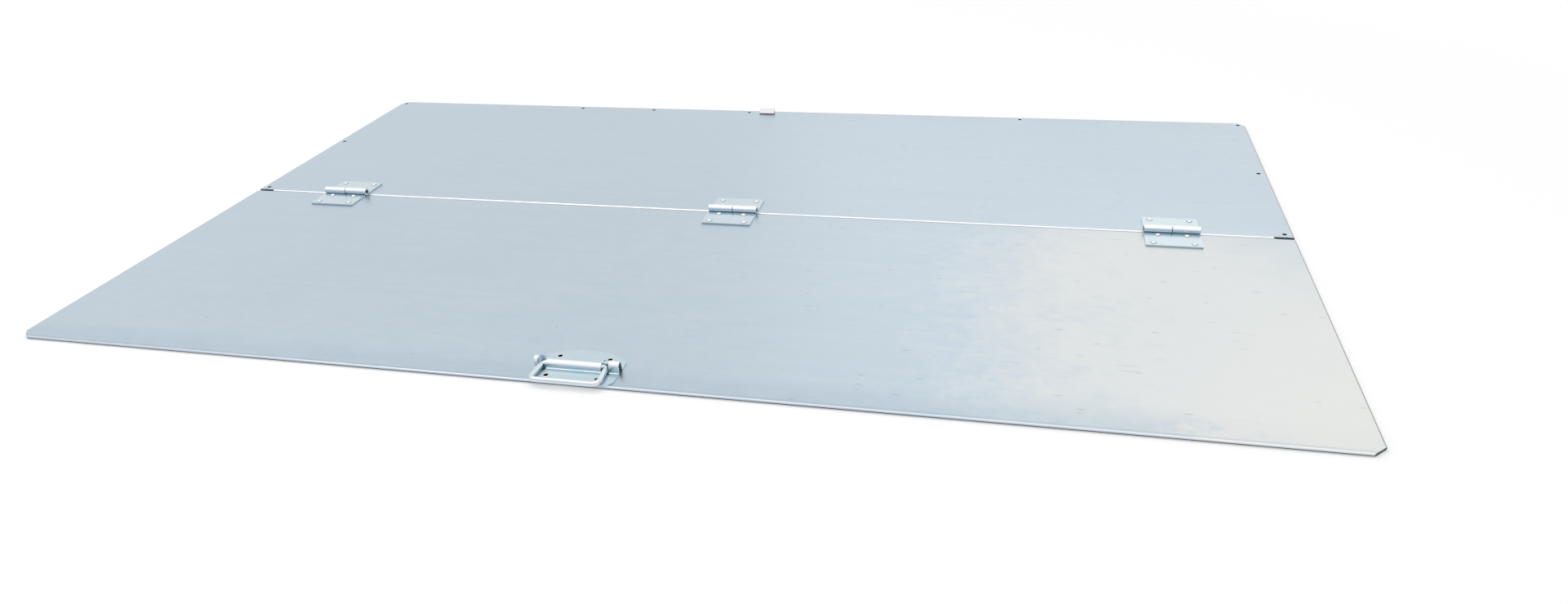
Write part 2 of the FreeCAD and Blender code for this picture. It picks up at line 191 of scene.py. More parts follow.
class LeafSizes(bpy.types.PropertyGroup):
    """Folded sheet of the two leaves"""

    sheet: length("Sheet", "Thickness of the galvanised sheet", 2.0 * MM)
    hem_width: length("Hem width", "How far a folded edge reaches back under the leaf", 24.0 * MM)
    corner_gap: length("Corner gap", "Gap between two hems where they meet at a corner", 0.8 * MM)
    corner_clip: length("Corner clip", "Leg of the cut across each outer corner", 15.0 * MM)
    joint_relief: length("Joint relief", "Length without a hem at each end of the joint", 28.0 * MM)
    rivet_bore: length("Rivet bore", "Radius of the holes for the hinge rivets", 2.4 * MM)
    rivet_sink: length("Rivet sink", "Radius of the hinge rivets' sunk tails", 3.8 * MM)
    tube_bore: length("Tube bore", "Radius of the holes for the handle rivets", 3.3 * MM)
    tube_sink: length("Tube sink", "Radius of the handle rivets' sunk tails", 4.4 * MM)
    mesh_step: length("Mesh step", "Spacing of the points across a leaf", 50.0 * MM)
    nose_steps: IntProperty(name="Nose steps", description="Flats round a folded edge", default=16, min=4)
    hole_steps: IntProperty(name="Hole steps", description="Flats round a hole", default=32, min=8)


class FinishColours(bpy.types.PropertyGroup):
    """Colours of the zinc and steel finishes, and of the painted highlights and shades on them"""

    sheet_dull: colour("Dull sheet", "Galvanised sheet in its duller patches", (0.465, 0.555, 0.632))
    sheet_light: colour("Light sheet", "Galvanised sheet in its lighter patches", (0.565, 0.648, 0.716))
    # Colour of the pale patch at the right end: part bloomed zinc, part painted reflection of glare
    bloom_and_glare: colour("Bloom", "Pale bloom on the zinc", (0.805, 0.787, 0.735))
    # Colour of the scuffs and specks, also used for the painted shade line behind the front fold
    scuff_and_fold_shade: colour("Scuff", "Zinc darkened by scuffs and specks", (0.20, 0.23, 0.26))
    cut_edge: colour("Cut edge", "Bare edge where the sheet was cut", (0.075, 0.085, 0.10))
    cut_edge_worn: colour("Worn cut edge", "Cut edge where zinc was dragged over it", (0.19, 0.21, 0.235))
    # Colour of the painted shade on the folds at the sides
    side_fold_shade: colour("Weathered fold", "Dull zinc round the folds at the sides", (0.17, 0.185, 0.20))
    hinge: colour("Hinge zinc", "Zinc plating of the hinge plates", (0.565, 0.675, 0.73))
    hinge_warm: colour("Hinge passivation", "Faint warm tint of the hinge plating", (0.635, 0.71, 0.735))
    rivet: colour("Rivet zinc", "Bright zinc of the rivets", (0.66, 0.73, 0.77))
    rivet_worn: colour("Worn rivet", "Rivet zinc where the setting tool rubbed it", (0.80, 0.83, 0.85))
    handle: colour("Handle zinc", "Bright zinc of the handle", (0.50, 0.635, 0.705))
    handle_warm: colour("Handle passivation", "Faint warm tint of the handle plating", (0.60, 0.69, 0.72))
    bail: colour("Bail zinc", "Zinc of the bent wire", (0.64, 0.715, 0.755))
    bail_worn: colour("Worn bail", "Wire where hands have rubbed it", (0.76, 0.79, 0.80))
    # Colour of the painted shade inside the hollow rivets
    bore: colour("Bore", "Dark inside of the hollow rivets", (0.022, 0.026, 0.032))
    # Colour of the painted highlight on the tops of the folds and on rounded crowns
    rubbed: colour("Rubbed fold", "Zinc rubbed bright on folds and crowns", (0.88, 0.90, 0.92))
    # Colour of the painted shade low down: under the folds and at the foot of plate edges, rivets and lug
    low_shade: colour("Grime", "Dirt low down on the edges", (0.10, 0.105, 0.115))
    # Colour of the painted shade at the foot of the hinge knuckles
    oil: colour("Oil", "Old oil at the foot of the hinge knuckles", (0.028, 0.075, 0.32))
    pin: colour("Pin steel", "Oiled steel of the hinge pins", (0.075, 0.08, 0.09))
    pin_oiled: colour("Oiled pin", "Darker steel where oil has stayed", (0.035, 0.037, 0.042))
    lug: colour("Lug steel", "Galvanised steel of the lug", (0.60, 0.605, 0.62))
    lug_worn: colour("Worn lug", "Lug where its zinc is rubbed bright", (0.72, 0.72, 0.725))


class StageSettings(bpy.types.PropertyGroup):
    """Camera, floor and lamps"""

    lens: FloatProperty(
        name="Lens", description="Focal length on a 36 mm sensor", default=24.216, unit="CAMERA"
    )
    eye: FloatVectorProperty(
        name="Eye",
        description="Place of the camera",
        default=(0.47457, -1.46098, 0.68219),
        subtype="TRANSLATION",
    )
    pitch: degrees("Pitch", "Angle the camera looks down", 28.751)
    yaw: degrees("Yaw", "Turn to the right of straight ahead", -14.372)
    roll: degrees("Roll", "Lean of the camera", -3.243)
    floor_colour: colour("Floor", "Colour of the pale floor", (0.90, 0.90, 0.90))
    floor_lift: amount("Floor lift", "Light the floor adds to its own picture under the object", 0.28)
    floor_fade: amount("Floor fade", "Light the floor adds to its own picture far away", 0.48)
    ambient: amount("Ambient", "Level of the world as it falls on dull surfaces", 0.62)
    front_shade: colour("Front shade", "World as metal mirrors it low down in front", (0.52, 0.65, 0.88))
    overhead: amount("Overhead", "Brightness of the overhead softbox", 0.48)
    window: amount("Window", "Brightness of the wide softbox behind the right end", 0.26)
    key: amount("Key", "Brightness of the small softbox above the left end", 3.5)


class CoverSettings(bpy.types.PropertyGroup):
    """Everything a user may change on the cover"""

    leaf: PointerProperty(type=LeafSizes)
    finish: PointerProperty(type=FinishColours)
    stage: PointerProperty(type=StageSettings)


# Shader node helpers


def add_node(tree, kind, inputs=None, **settings):
    """Adds a node, sets its options, and fills or links its inputs by name or number."""
    node = tree.nodes.new(kind)
    for name, value in settings.items():
        setattr(node, name, value)
    for key, value in (inputs or {}).items():
        socket = node.inputs[key]
        if isinstance(value, bpy.types.NodeSocket):
            tree.links.new(value, socket)
        else:
            socket.default_value = value
    return node


def maths(tree, operation, first, second=0.0, clamp=False):
    """One arithmetic step."""
    node = add_node(tree, "ShaderNodeMath", {0: first, 1: second}, operation=operation, use_clamp=clamp)
    return node.outputs[0]


def times(tree, *factors):
    """The product of several values."""
    product = factors[0]
    for factor in factors[1:]:
        product = maths(tree, "MULTIPLY", product, factor)
    return product


def strongest(tree, *values):
    """The largest of several values."""
    largest = values[0]
    for value in values[1:]:
        largest = maths(tree, "MAXIMUM", largest, value)
    return largest


def remap(tree, value, band, start=0.0, end=1.0, smooth=True):
    """Goes from a start to an end as a value crosses a band, and stays level outside it."""
    low, high = band
    node = add_node(
        tree,
        "ShaderNodeMapRange",
        {"Value": value, "From Min": low, "From Max": high, "To Min": start, "To Max": end},
        interpolation_type="SMOOTHSTEP" if smooth else "LINEAR",
    )
    return node.outputs["Result"]


def fade(tree, value, band, peak=1.0):
    """Falls from a peak to 0 across a band."""
    return remap(tree, value, band, start=peak, end=0.0)


def above(base, band):
    """A band of heights measured up from a base."""
    return base + band[0], base + band[1]


def blend_colours(tree, factor, first, second):
    """Mixes two colours or links."""
    node = add_node(tree, "ShaderNodeMix", {0: factor, 6: first, 7: second}, data_type="RGBA")
    return node.outputs[2]


def opaque(rgb):
    """A property's colour with its alpha."""
    return (*rgb, 1.0)


def stretched(tree, coords, scale):
    """Coordinates scaled by a different amount along each axis."""
    return add_node(tree, "ShaderNodeMapping", {"Vector": coords, "Scale": scale}).outputs["Vector"]


def noise(tree, coords, scale=1.0, detail=2.0, rough=0.5):
    """Soft noise from 0 to 1."""
    inputs = {"Vector": coords, "Scale": scale, "Detail": detail, "Roughness": rough}
    return add_node(tree, "ShaderNodeTexNoise", inputs).outputs["Fac"]


def cells(tree, coords, scale=1.0):
    """Distance and random value of the cells of a scattered pattern."""
    node = add_node(tree, "ShaderNodeTexVoronoi", {"Vector": coords, "Scale": scale})
    value = add_node(tree, "ShaderNodeSeparateColor", {"Color": node.outputs["Color"]}).outputs[0]
    return node.outputs["Distance"], value


def marks(tree, coords, scale=1.0, *, size, share):
    """Scattered spots of a size within their cells; share is the part of the cells that have one."""
    distance, value = cells(tree, coords, scale)
    spot = fade(tree, distance, (size / 2, size))
    chosen = maths(tree, "LESS_THAN", value, share)
    return times(tree, spot, chosen)


def weighted_sum(tree, base, terms):
    """Adds each term less its middle, times its weight, to a base."""
    total = base
    for value, weight in terms:
        part = times(tree, maths(tree, "SUBTRACT", value, 0.5), weight)
        total = maths(tree, "ADD", total, part)
    return total


def new_material(name):
    """A material with one metal shader, and its node tree, shader and object coordinates."""
    material = bpy.data.materials.new(name)
    material.use_nodes = True
    tree = material.node_tree
    tree.nodes.clear()
    shader = add_node(tree, "ShaderNodeBsdfPrincipled", {"Metallic": 1.0})
    add_node(tree, "ShaderNodeOutputMaterial", {"Surface": shader.outputs["BSDF"]})
    coords = add_node(tree, "ShaderNodeTexCoord").outputs["Object"]
    return material, tree, shader, coords


def set_bump(tree, shader, height, depth, strength=1.0):
    """Raises the surface by a height map."""
    bump = add_node(tree, "ShaderNodeBump", {"Height": height, "Distance": depth, "Strength": strength})
    tree.links.new(bump.outputs["Normal"], shader.inputs["Normal"])


def place_axes(tree):
    """A point's X, Y and Z in the shared frame."""
    coords = add_node(tree, "ShaderNodeTexCoord").outputs["Object"]
    return add_node(tree, "ShaderNodeSeparateXYZ", {"Vector": coords}).outputs


def facing(tree, axis):
    """1 where a surface faces along an axis of its own frame, 0 where it stands square to it."""
    normal = add_node(tree, "ShaderNodeTexCoord").outputs["Normal"]
    part = add_node(tree, "ShaderNodeSeparateXYZ", {"Vector": normal}).outputs[axis]
    return maths(tree, "ABSOLUTE", part)


def overlay(material, mask, tint):
    """Lays one more colour over a finished material where a mask is 1."""
    tree = material.node_tree
    shader = tree.nodes["Principled BSDF"]
    under = shader.inputs["Base Color"].links[0].from_socket
    tree.links.new(blend_colours(tree, mask, under, opaque(tint)), shader.inputs["Base Color"])


# Finishes


class GalvanisedSheet:
    """Hot-dip galvanised finish: faint spangle, rolling streaks, scuffs, and a pale right end, part bloomed
    zinc and part painted reflection.
    """

    def __init__(self, finish):
        self.finish = finish
        self.material, tree, self.shader, coords = new_material("galvanised_sheet")
        self.tree = tree
        self.across, self.along, self.height = place_axes(tree)
        self.from_front = maths(tree, "SUBTRACT", self.along, FRONT_LOW.y)
        self.cloud = noise(tree, coords, CLOUDS, detail=4.0, rough=0.55)
        self.mottle = noise(tree, stretched(tree, coords, MOTTLE), detail=4.0, rough=0.6)
        self.patch = noise(tree, stretched(tree, coords, PATCHES), detail=3.0, rough=0.6)
        self.streak = noise(tree, stretched(tree, coords, STREAKS), detail=3.0, rough=0.55)
        self.grain = noise(tree, coords, SHEET_GRAIN, detail=1.0)
        _, self.spangle = cells(tree, stretched(tree, coords, SPANGLE))
        self.pits = marks(tree, coords, PITS, size=0.06, share=0.08)
        self.hem_band = fade(tree, self.from_front, HEM_BAND)
        uneven = [(self.cloud, 0.34), (self.mottle, 0.26), (self.patch, 0.18), (self.spangle, 0.06)]
        self.ragged = weighted_sum(tree, self.across, uneven)
        self.rubs = self.rub_mask(coords)
        # Mask of the pale patch: part bloomed zinc, part painted reflection of glare
        self.bloom_and_glare = self.bloom_and_glare_mask()

    def rub_mask(self, coords):
        """Scuffs and scratches, more of them toward the right and along the front hem."""
        tree = self.tree
        scuffs = marks(tree, stretched(tree, coords, SCUFFS), size=0.30, share=0.12)
        scratches = marks(tree, stretched(tree, coords, SCRATCHES), size=0.28, share=0.05)
        handled = strongest(tree, remap(tree, self.ragged, HANDLED, start=0.2), self.hem_band)
        uneven = remap(tree, self.mottle, HANDLED_MOTTLE, start=0.15)
        return times(tree, strongest(tree, scuffs, scratches), times(tree, handled, uneven))

    def bloom_and_glare_mask(self):
        """Pale patch on the front leaf's right end, faint on the rear leaf and thin at the joint's corner:
        part bloomed zinc, part painted reflection of glare.
        """
        tree = self.tree
        on_front = maths(tree, "LESS_THAN", self.along, FRONT_HIGH.y)
        leaf_share = strongest(tree, on_front, remap(tree, self.across, REAR_BLOOM_GLARE, end=0.22))
        front_share = strongest(
            tree,
            remap(tree, self.from_front, BLOOM_GLARE_FRONT, start=0.45),
            remap(tree, self.ragged, BLOOM_GLARE_FULL),
        )
        to_corner = maths(tree, "ADD", self.across, self.along)
        to_corner = weighted_sum(tree, to_corner, [(self.mottle, 0.20), (self.patch, 0.10)])
        corner_share = remap(tree, to_corner, JOINT_CORNER, start=1.0, end=0.45)
        return times(tree, remap(tree, self.ragged, BLOOM_GLARE_START), leaf_share, front_share, corner_share)

    def flat_zinc(self):
        """Dull and light patches under the pale patch of bloomed zinc and painted glare, which is palest
        toward the right front corner.
        """
        tree, finish = self.tree, self.finish
        patches = [(self.cloud, 0.55), (self.mottle, 0.36), (self.patch, 0.26), (self.streak, 0.40)]
        tone = weighted_sum(tree, 0.5, patches + [(self.spangle, 0.18)])
        tone = maths(tree, "SUBTRACT", tone, times(tree, self.hem_band, HEM_DULLNESS), clamp=True)
        zinc = blend_colours(tree, tone, opaque(finish.sheet_dull), opaque(finish.sheet_light))
        to_corner = maths(tree, "SUBTRACT", self.across, times(tree, self.along, 0.6))
        share = times(tree, self.bloom_and_glare, remap(tree, to_corner, FRONT_CORNER, start=0.54, end=0.68))
        return blend_colours(tree, share, zinc, opaque(finish.bloom_and_glare))

    def worn_and_fold_shade(self, zinc):
        """Rubs, pits, and a painted shade line just behind the front fold, where the top starts to turn
        down.
        """
        tree = self.tree
        start = remap(tree, self.from_front, FOLD_SHADE_START)
        # Painted shade line where the top starts to turn down into the front fold
        fold_shade_line = times(tree, start, fade(tree, self.from_front, FOLD_SHADE_END))
        mask = strongest(
            tree,
            times(tree, self.rubs, RUB_STRENGTH),
            times(tree, self.pits, PIT_STRENGTH),
            times(tree, fold_shade_line, FOLD_SHADE_STRENGTH),
        )
        return blend_colours(tree, mask, zinc, opaque(self.finish.scuff_and_fold_shade))

    def folded(self, zinc):
        """Folds with a painted highlight on top, painted shade on the folds at the sides and painted shade
        underneath.
        """
        tree, finish = self.tree, self.finish
        level = facing(tree, "Z")
        upper = remap(tree, self.height, NOSE_MIDDLE)
        # Painted highlight on the upper half of the folds
        bright = times(tree, fade(tree, level, FOLD_HIGHLIGHT), upper)
        bright = times(tree, bright, remap(tree, self.from_front, FRONT_FOLD, start=0.30, end=0.95))
        zinc = blend_colours(tree, bright, zinc, opaque(finish.rubbed))
        # Painted shade on the folds that face the sides
        beside = remap(tree, facing(tree, "X"), SIDE_FOLD, end=0.92)
        zinc = blend_colours(tree, beside, zinc, opaque(finish.side_fold_shade))
        # Painted shade on the lower half of the folds
        lower = maths(tree, "SUBTRACT", 1.0, upper)
        under_shade = times(tree, lower, fade(tree, level, UNDER_FOLD_SHADE))
        under_shade = times(tree, under_shade, remap(tree, self.mottle, UNDER_SHADE_MOTTLE, start=0.8))
        return blend_colours(tree, under_shade, zinc, opaque(finish.low_shade))

    def build(self):
        """Links the colour, roughness and relief to the shader."""
        tree, shader = self.tree, self.shader
        zinc = self.folded(self.worn_and_fold_shade(self.flat_zinc()))
        tree.links.new(zinc, shader.inputs["Base Color"])
        uneven = [(self.cloud, 0.10), (self.mottle, 0.10), (self.spangle, 0.05), (self.grain, 0.05)]
        rough = weighted_sum(tree, SHEET_ROUGHNESS, uneven)
        rough = maths(tree, "ADD", rough, times(tree, self.bloom_and_glare, BLOOM_GLARE_ROUGHNESS))
        tree.links.new(rough, shader.inputs["Roughness"])
        uneven = [(self.streak, 0.30), (self.mottle, 0.35), (self.spangle, 0.12), (self.grain, 0.06)]
        dents = times(tree, maths(tree, "ADD", self.rubs, self.pits), DENT_STRENGTH)
        relief = maths(tree, "SUBTRACT", weighted_sum(tree, 0.5, uneven), dents)
        set_bump(tree, shader, relief, SHEET_RELIEF, strength=0.6)
        return self.material


def cut_edge(finish):
    """Sheared sheet edge with fine lines through its thickness."""
    material, tree, shader, coords = new_material("cut_edge")
    shear = noise(tree, stretched(tree, coords, SHEAR_LINES))
    tint = blend_colours(tree, shear, opaque(finish.cut_edge), opaque(finish.cut_edge_worn))
    tree.links.new(tint, shader.inputs["Base Color"])
    roughness = remap(tree, shear, (0.2, 0.8), *CUT_ROUGHNESS)
    tree.links.new(roughness, shader.inputs["Roughness"])
    set_bump(tree, shader, shear, CUT_RELIEF)
    return material


def zinc_plating(name, cold, warm, rough):
    """Bright zinc plating with a faint warm passivation, drawn lines and small rubs."""
    material, tree, shader, coords = new_material(name)
    tint = noise(tree, coords, PLATING_TINT, detail=3.0, rough=0.55)
    drawn = noise(tree, stretched(tree, coords, DRAWN_LINES))
    grain = noise(tree, coords, PLATING_GRAIN, detail=1.0)
    rubs = marks(tree, stretched(tree, coords, PLATING_RUBS), size=0.22, share=0.12)
    shade = weighted_sum(tree, 0.4, [(tint, 1.3), (drawn, 0.3)])
    shade = maths(tree, "SUBTRACT", shade, times(tree, rubs, 0.35), clamp=True)
    tree.links.new(blend_colours(tree, shade, opaque(cold), opaque(warm)), shader.inputs["Base Color"])
    uneven = weighted_sum(tree, 0.5, [(tint, 0.8), (drawn, 0.5), (grain, 0.4)])
    uneven = maths(tree, "ADD", uneven, times(tree, rubs, 0.4))
    roughness = remap(tree, uneven, (0.0, 1.0), *rough, smooth=False)
    tree.links.new(roughness, shader.inputs["Roughness"])
    relief = weighted_sum(tree, 0.5, [(drawn, 0.4), (grain, 0.3), (tint, 0.3)])
    set_bump(tree, shader, relief, PLATING_RELIEF, strength=0.5)
    return material


def past_nearer(tree, value, first, second):
    """How far a value lies beyond the nearer of two values, seen from between them."""
    from_middle = maths(tree, "ABSOLUTE", maths(tree, "SUBTRACT", value, (first + second) / 2))
    return maths(tree, "SUBTRACT", from_middle, (second - first) / 2)


def paint_bore_shade(material, bore):
    """Paints shade inside the hollow rivets, above the flare of their tails."""
    tree = material.node_tree
    across, along, height = place_axes(tree)
    centres = solid_centres("handle_rivets")
    (left, front), (right, back) = centres[0], centres[-1]
    x_square = maths(tree, "POWER", past_nearer(tree, across, left, right), 2.0)
    y_square = maths(tree, "POWER", past_nearer(tree, along, front, back), 2.0)
    radius = maths(tree, "SQRT", maths(tree, "ADD", x_square, y_square))
    over_tail = remap(tree, height, OVER_TAIL)
    overlay(material, times(tree, fade(tree, radius, BORE_EDGE), over_tail), bore)


def paint_crown_highlight(material, band, finish):
    """Painted highlight on the top of a rounded piece, growing across a band of heights."""
    tree = material.node_tree
    _, _, height = place_axes(tree)
    overlay(material, remap(tree, height, band, end=0.8), finish.rubbed)


def paint_hinge_light_and_shade(material, finish):
    """Painted shade at the foot of the knuckles, a painted highlight on the crowns, and painted shade low
    down on the plates' edges.
    """
    tree = material.node_tree
    _, along, height = place_axes(tree)
    pin_low, pin_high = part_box("middle_hinge_pin")
    plate_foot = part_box("middle_hinge_front_plate")[0].z
    from_pin = maths(tree, "SUBTRACT", along, (pin_low.y + pin_high.y) / 2)
    from_pin = maths(tree, "ABSOLUTE", from_pin)
    # Painted shade where the knuckles meet the plates
    knuckle_shade_band = times(tree, remap(tree, from_pin, KNUCKLE_SHADE_INSIDE), fade(tree, from_pin, KNUCKLE_SHADE_OUTSIDE))
    overlay(material, times(tree, knuckle_shade_band, fade(tree, height, KNUCKLE_SHADE_TOP)), finish.oil)
    # Painted highlight on the knuckles' crowns
    paint_crown_highlight(material, ((pin_low.z + pin_high.z) / 2, pin_high.z), finish)
    # Painted shade low down on the upright edges of the plates
    upright = fade(tree, facing(tree, "Z"), UPRIGHT)
    low = fade(tree, height, above(plate_foot, EDGE_LOW_SHADE), peak=0.7)
    overlay(material, times(tree, upright, low), finish.low_shade)


def paint_foot_shade(material, band, finish):
    """Painted shade round the foot of a piece that stands on the sheet, fading out across a band of
    heights.
    """
    tree = material.node_tree
    _, _, height = place_axes(tree)
    on_sheet = maths(tree, "GREATER_THAN", height, FRONT_HIGH.z)
    overlay(material, times(tree, fade(tree, height, band, peak=0.85), on_sheet), finish.low_shade)


# Leaf geometry


def solid_centres(node):
    """Plan centres of the separate solids in a CAD node."""
    mesh = bmesh.new()
    mesh.from_mesh(frame["nodes"][node].data)
    bmesh.ops.remove_doubles(mesh, verts=mesh.verts, dist=WELD)
    waiting = set(mesh.verts)
    centres = []
    while waiting:
        found = [waiting.pop()]
        for vert in found:
            for linked in vert.link_edges:
                other = linked.other_vert(vert)
                if other in waiting:
                    waiting.remove(other)
                    found.append(other)
        xs = [vert.co.x for vert in found]
        ys = [vert.co.y for vert in found]
        centres.append(((min(xs) + max(xs)) / 2, (min(ys) + max(ys)) / 2))
    mesh.free()
    return sorted(centres)


def fixing_holes():
    """Centres and radii of the fixing holes, from the record's bolt patterns."""
    holes = []
    for mount in frame["record"]["mounts"]:
        if mount["kind"] != "bolt_pattern":
            continue
        dims = mount["dims"]
        x, y, _ = mount["pos_m"]
        dx = dims["spacing_x_mm"] * MM / 2
        dy = dims.get("spacing_y_mm", 0.0) * MM / 2
        rows = (-dy, dy) if dy else (0.0,)
        holes += [(x + side, y + row, dims["hole_r_mm"] * MM) for side in (-dx, dx) for row in rows]
    return holes


def rivet_holes(sizes):
    """Each leaf's rivet holes through its top, and the wider holes in its hems, in the shared frame."""
    top = {leaf: [] for leaf in LEAVES}
    sunk = {leaf: [] for leaf in LEAVES}
    groups = []
    for hinge in HINGES:
        for leaf in LEAVES:
            groups.append((f"{hinge}_hinge_{leaf}_rivets", leaf, sizes.rivet_bore, sizes.rivet_sink))
    groups.append(("handle_rivets", "front", sizes.tube_bore, sizes.tube_sink))
    for node, leaf, bore, sink in groups:
        for x, y in solid_centres(node):
            top[leaf].append((x, y, bore))
            sunk[leaf].append((x, y, sink))
    return top, sunk


def spread(first, last, fractions):
    """Values between two ends at the given fractions."""
    return [first + (last - first) * fraction for fraction in fractions]


def even_steps(span, step):
    """Fractions from 0 to 1 that cut a span into pieces of about a step."""
    count = max(1, round(span / step))
    return [i / count for i in range(count + 1)]


class FoldedLeaf:
    """The outer skin of one leaf, as a blank folded along its hems.

    Across the blank, x runs along the joint and v is the distance from the outer edge.
    """

    def __init__(self, sizes, outer_y, depth, turn):
        self.sizes = sizes
        self.outer_y = outer_y
        self.depth = depth
        self.turn = turn
        self.half = FRONT_HIGH.x
        self.top = FRONT_HIGH.z
        self.nose = self.top / 2
        self.mesh = bmesh.new()

    def vertex(self, x, v, z):
        """A new point of the skin, in the shared frame."""
        return self.mesh.verts.new((self.turn * x, self.outer_y + self.turn * v, z))

    def to_blank(self, holes):
        """Holes of the shared frame in the leaf's own coordinates."""
        return [(self.turn * x, self.turn * (y - self.outer_y), radius) for x, y, radius in holes]

    def panel(self, outline, holes, z, upward):
        """A flat part of the blank with round holes."""
        points = [Vector(p) for p in outline]
        loops = [list(range(len(points)))]
        steps = self.sizes.hole_steps
        for x, v, radius in holes:
            first = len(points)
            turns = [2 * math.pi * i / steps for i in range(steps)]
            points += [Vector((x + radius * math.cos(t), v + radius * math.sin(t))) for t in turns]
            loops.append(list(range(first, first + steps)))
        points += self.inner_points(outline, holes)
        edges = [(loop[i - 1], loop[i]) for loop in loops for i in range(len(loop))]
        flat, _, faces, *_ = delaunay_2d_cdt(points, edges, [loops[0]], 1, WELD / 10)
        made = [self.vertex(p.x, p.y, z) for p in flat]
        for face in faces:
            middle = sum((flat[i] for i in face), Vector((0.0, 0.0))) / len(face)
            if any((middle - Vector((x, v))).length < radius for x, v, radius in holes):
                continue
            order = face if upward else reversed(face)
            self.mesh.faces.new([made[i] for i in order])

    def inner_points(self, outline, holes):
        """Points on a regular grid well inside an outline and clear of its holes."""
        step = self.sizes.mesh_step
        xs = [p[0] for p in outline]
        vs = [p[1] for p in outline]
        columns = spread(min(xs), max(xs), even_steps(max(xs) - min(xs), step))[1:-1]
        rows = spread(min(vs), max(vs), even_steps(max(vs) - min(vs), step))[1:-1]
        clear = step / 6
        found = []
        for x in columns:
            for v in rows:
                if all(math.hypot(x - hx, v - hv) > radius + clear for hx, hv, radius in holes):
                    found.append(Vector((x, v)))
        return found

    def nose_strip(self, row):
        """A half-round fold; row gives the points of the strip at an angle from the top."""
        steps = self.sizes.nose_steps
        rows = [[self.vertex(*p) for p in row(math.pi * i / steps)] for i in range(steps + 1)]
        for upper, lower in zip(rows, rows[1:]):
            for i in range(len(upper) - 1):
                self.mesh.faces.new((upper[i], lower[i], lower[i + 1], upper[i + 1]))

    def build(self, top_holes, hem_holes):
        """Folds the four hems round the flat top."""
        sizes, half, nose, depth = self.sizes, self.half, self.nose, self.depth
        clip, hem = sizes.corner_clip, sizes.hem_width
        flat_x, flat_end = half - nose, depth - nose
        clip_x, clip_v = half - clip + nose, clip - nose
        butt = hem + sizes.corner_gap
        joint_x = half - sizes.joint_relief
        outer_x = flat_x - sizes.corner_gap
        across = even_steps(2 * half, sizes.mesh_step)
        first = (butt - clip_v) / (flat_end - clip_v)
        along = [0.0] + spread(first, 1.0, even_steps(flat_end - butt, sizes.mesh_step))
        side_v = spread(clip_v, flat_end, along)
        outer_line = [(x, nose) for x in spread(-clip_x, clip_x, across)]
        joint_line = [(x, flat_end) for x in spread(joint_x, -joint_x, across)]
        right_line = [(flat_x, v) for v in side_v]
        left_line = [(-flat_x, v) for v in reversed(side_v)]
        self.panel(outer_line + right_line + joint_line + left_line, top_holes, self.top, True)

        def level(angle):
            return nose + nose * math.cos(angle)

        def outer_row(angle):
            v = nose - nose * math.sin(angle)
            reach = half - clip + v
            return [(x, v, level(angle)) for x in spread(-reach, reach, across)]

        def right_row(angle):
            x = flat_x + nose * math.sin(angle)
            return [(x, v, level(angle)) for v in spread(x - half + clip, flat_end, along)]

        def left_row(angle):
            return [(-x, v, z) for x, v, z in reversed(right_row(angle))]

        def joint_row(angle):
            v = flat_end + nose * math.sin(angle)
            return [(x, v, level(angle)) for x in spread(joint_x, -joint_x, across)]

        for row in (outer_row, right_row, joint_row, left_row):
            self.nose_strip(row)
        outer_back = [(x, hem) for x in spread(outer_x, -outer_x, across)]
        outer_in = outer_x - half + clip
        outer_return = outer_line + [(outer_x, outer_in)] + outer_back + [(-outer_x, outer_in)]
        side_return = right_line[1:] + [(half - hem, v) for v in reversed(side_v[1:])]
        joint_return = joint_line + [(x, depth - hem) for x in spread(-joint_x, joint_x, across)]
        returns = [outer_return, side_return, [(-x, v) for x, v in reversed(side_return)], joint_return]
        for outline in returns:
            inside = [hole for hole in hem_holes if self.within(hole, outline)]
            self.panel(outline, inside, 0.0, False)
        bmesh.ops.remove_doubles(self.mesh, verts=self.mesh.verts, dist=WELD)
        return self.mesh

    @staticmethod
    def within(hole, outline):
        """Whether a hole's centre lies in the box round an outline."""
        xs = [p[0] for p in outline]
        vs = [p[1] for p in outline]
        return min(xs) < hole[0] < max(xs) and min(vs) < hole[1] < max(vs)


def leaf_object(name, leaf, top_holes, hem_holes, materials):
    """One leaf as a sheet of real thickness with smooth folds and sharp cut edges."""
    mesh = bpy.data.meshes.new(name)
    skin = leaf.build(top_holes, hem_holes)
    skin.to_mesh(mesh)
    skin.free()
    for material in materials:
        mesh.materials.append(material)
    obj = bpy.data.objects.new(name, mesh)
    bpy.context.scene.collection.objects.link(obj)
    thick = obj.modifiers.new("Sheet", "SOLIDIFY")
    thick.thickness = leaf.sizes.sheet
    thick.offset = -1.0
    thick.use_even_offset = True
    thick.use_quality_normals = True
    thick.material_offset_rim = 1
    graph = bpy.context.evaluated_depsgraph_get()
    solid = bpy.data.meshes.new_from_object(obj.evaluated_get(graph))
    obj.modifiers.clear()
    obj.data = solid
    bpy.data.meshes.remove(mesh)
    solid.name = name
    solid.polygons.foreach_set("use_smooth", [True] * len(solid.polygons))
    solid.set_sharp_from_angle(angle=SHARP_EDGE)
    return obj


# Stage


def camera_matrix(stage):
    """The camera's place and turn as a matrix."""
    ahead = Vector((
        math.sin(stage.yaw) * math.cos(stage.pitch),
        math.cos(stage.yaw) * math.cos(stage.pitch),
        -math.sin(stage.pitch),
    ))
    level = Vector((math.cos(stage.yaw), -math.sin(stage.yaw), 0.0))
    upright = level.cross(ahead)
    right = math.cos(stage.roll) * level + math.sin(stage.roll) * upright
    up = -math.sin(stage.roll) * level + math.cos(stage.roll) * upright
    turn = Matrix((right, up, -ahead)).transposed().to_4x4()
    return Matrix.Translation(Vector(stage.eye)) @ turn


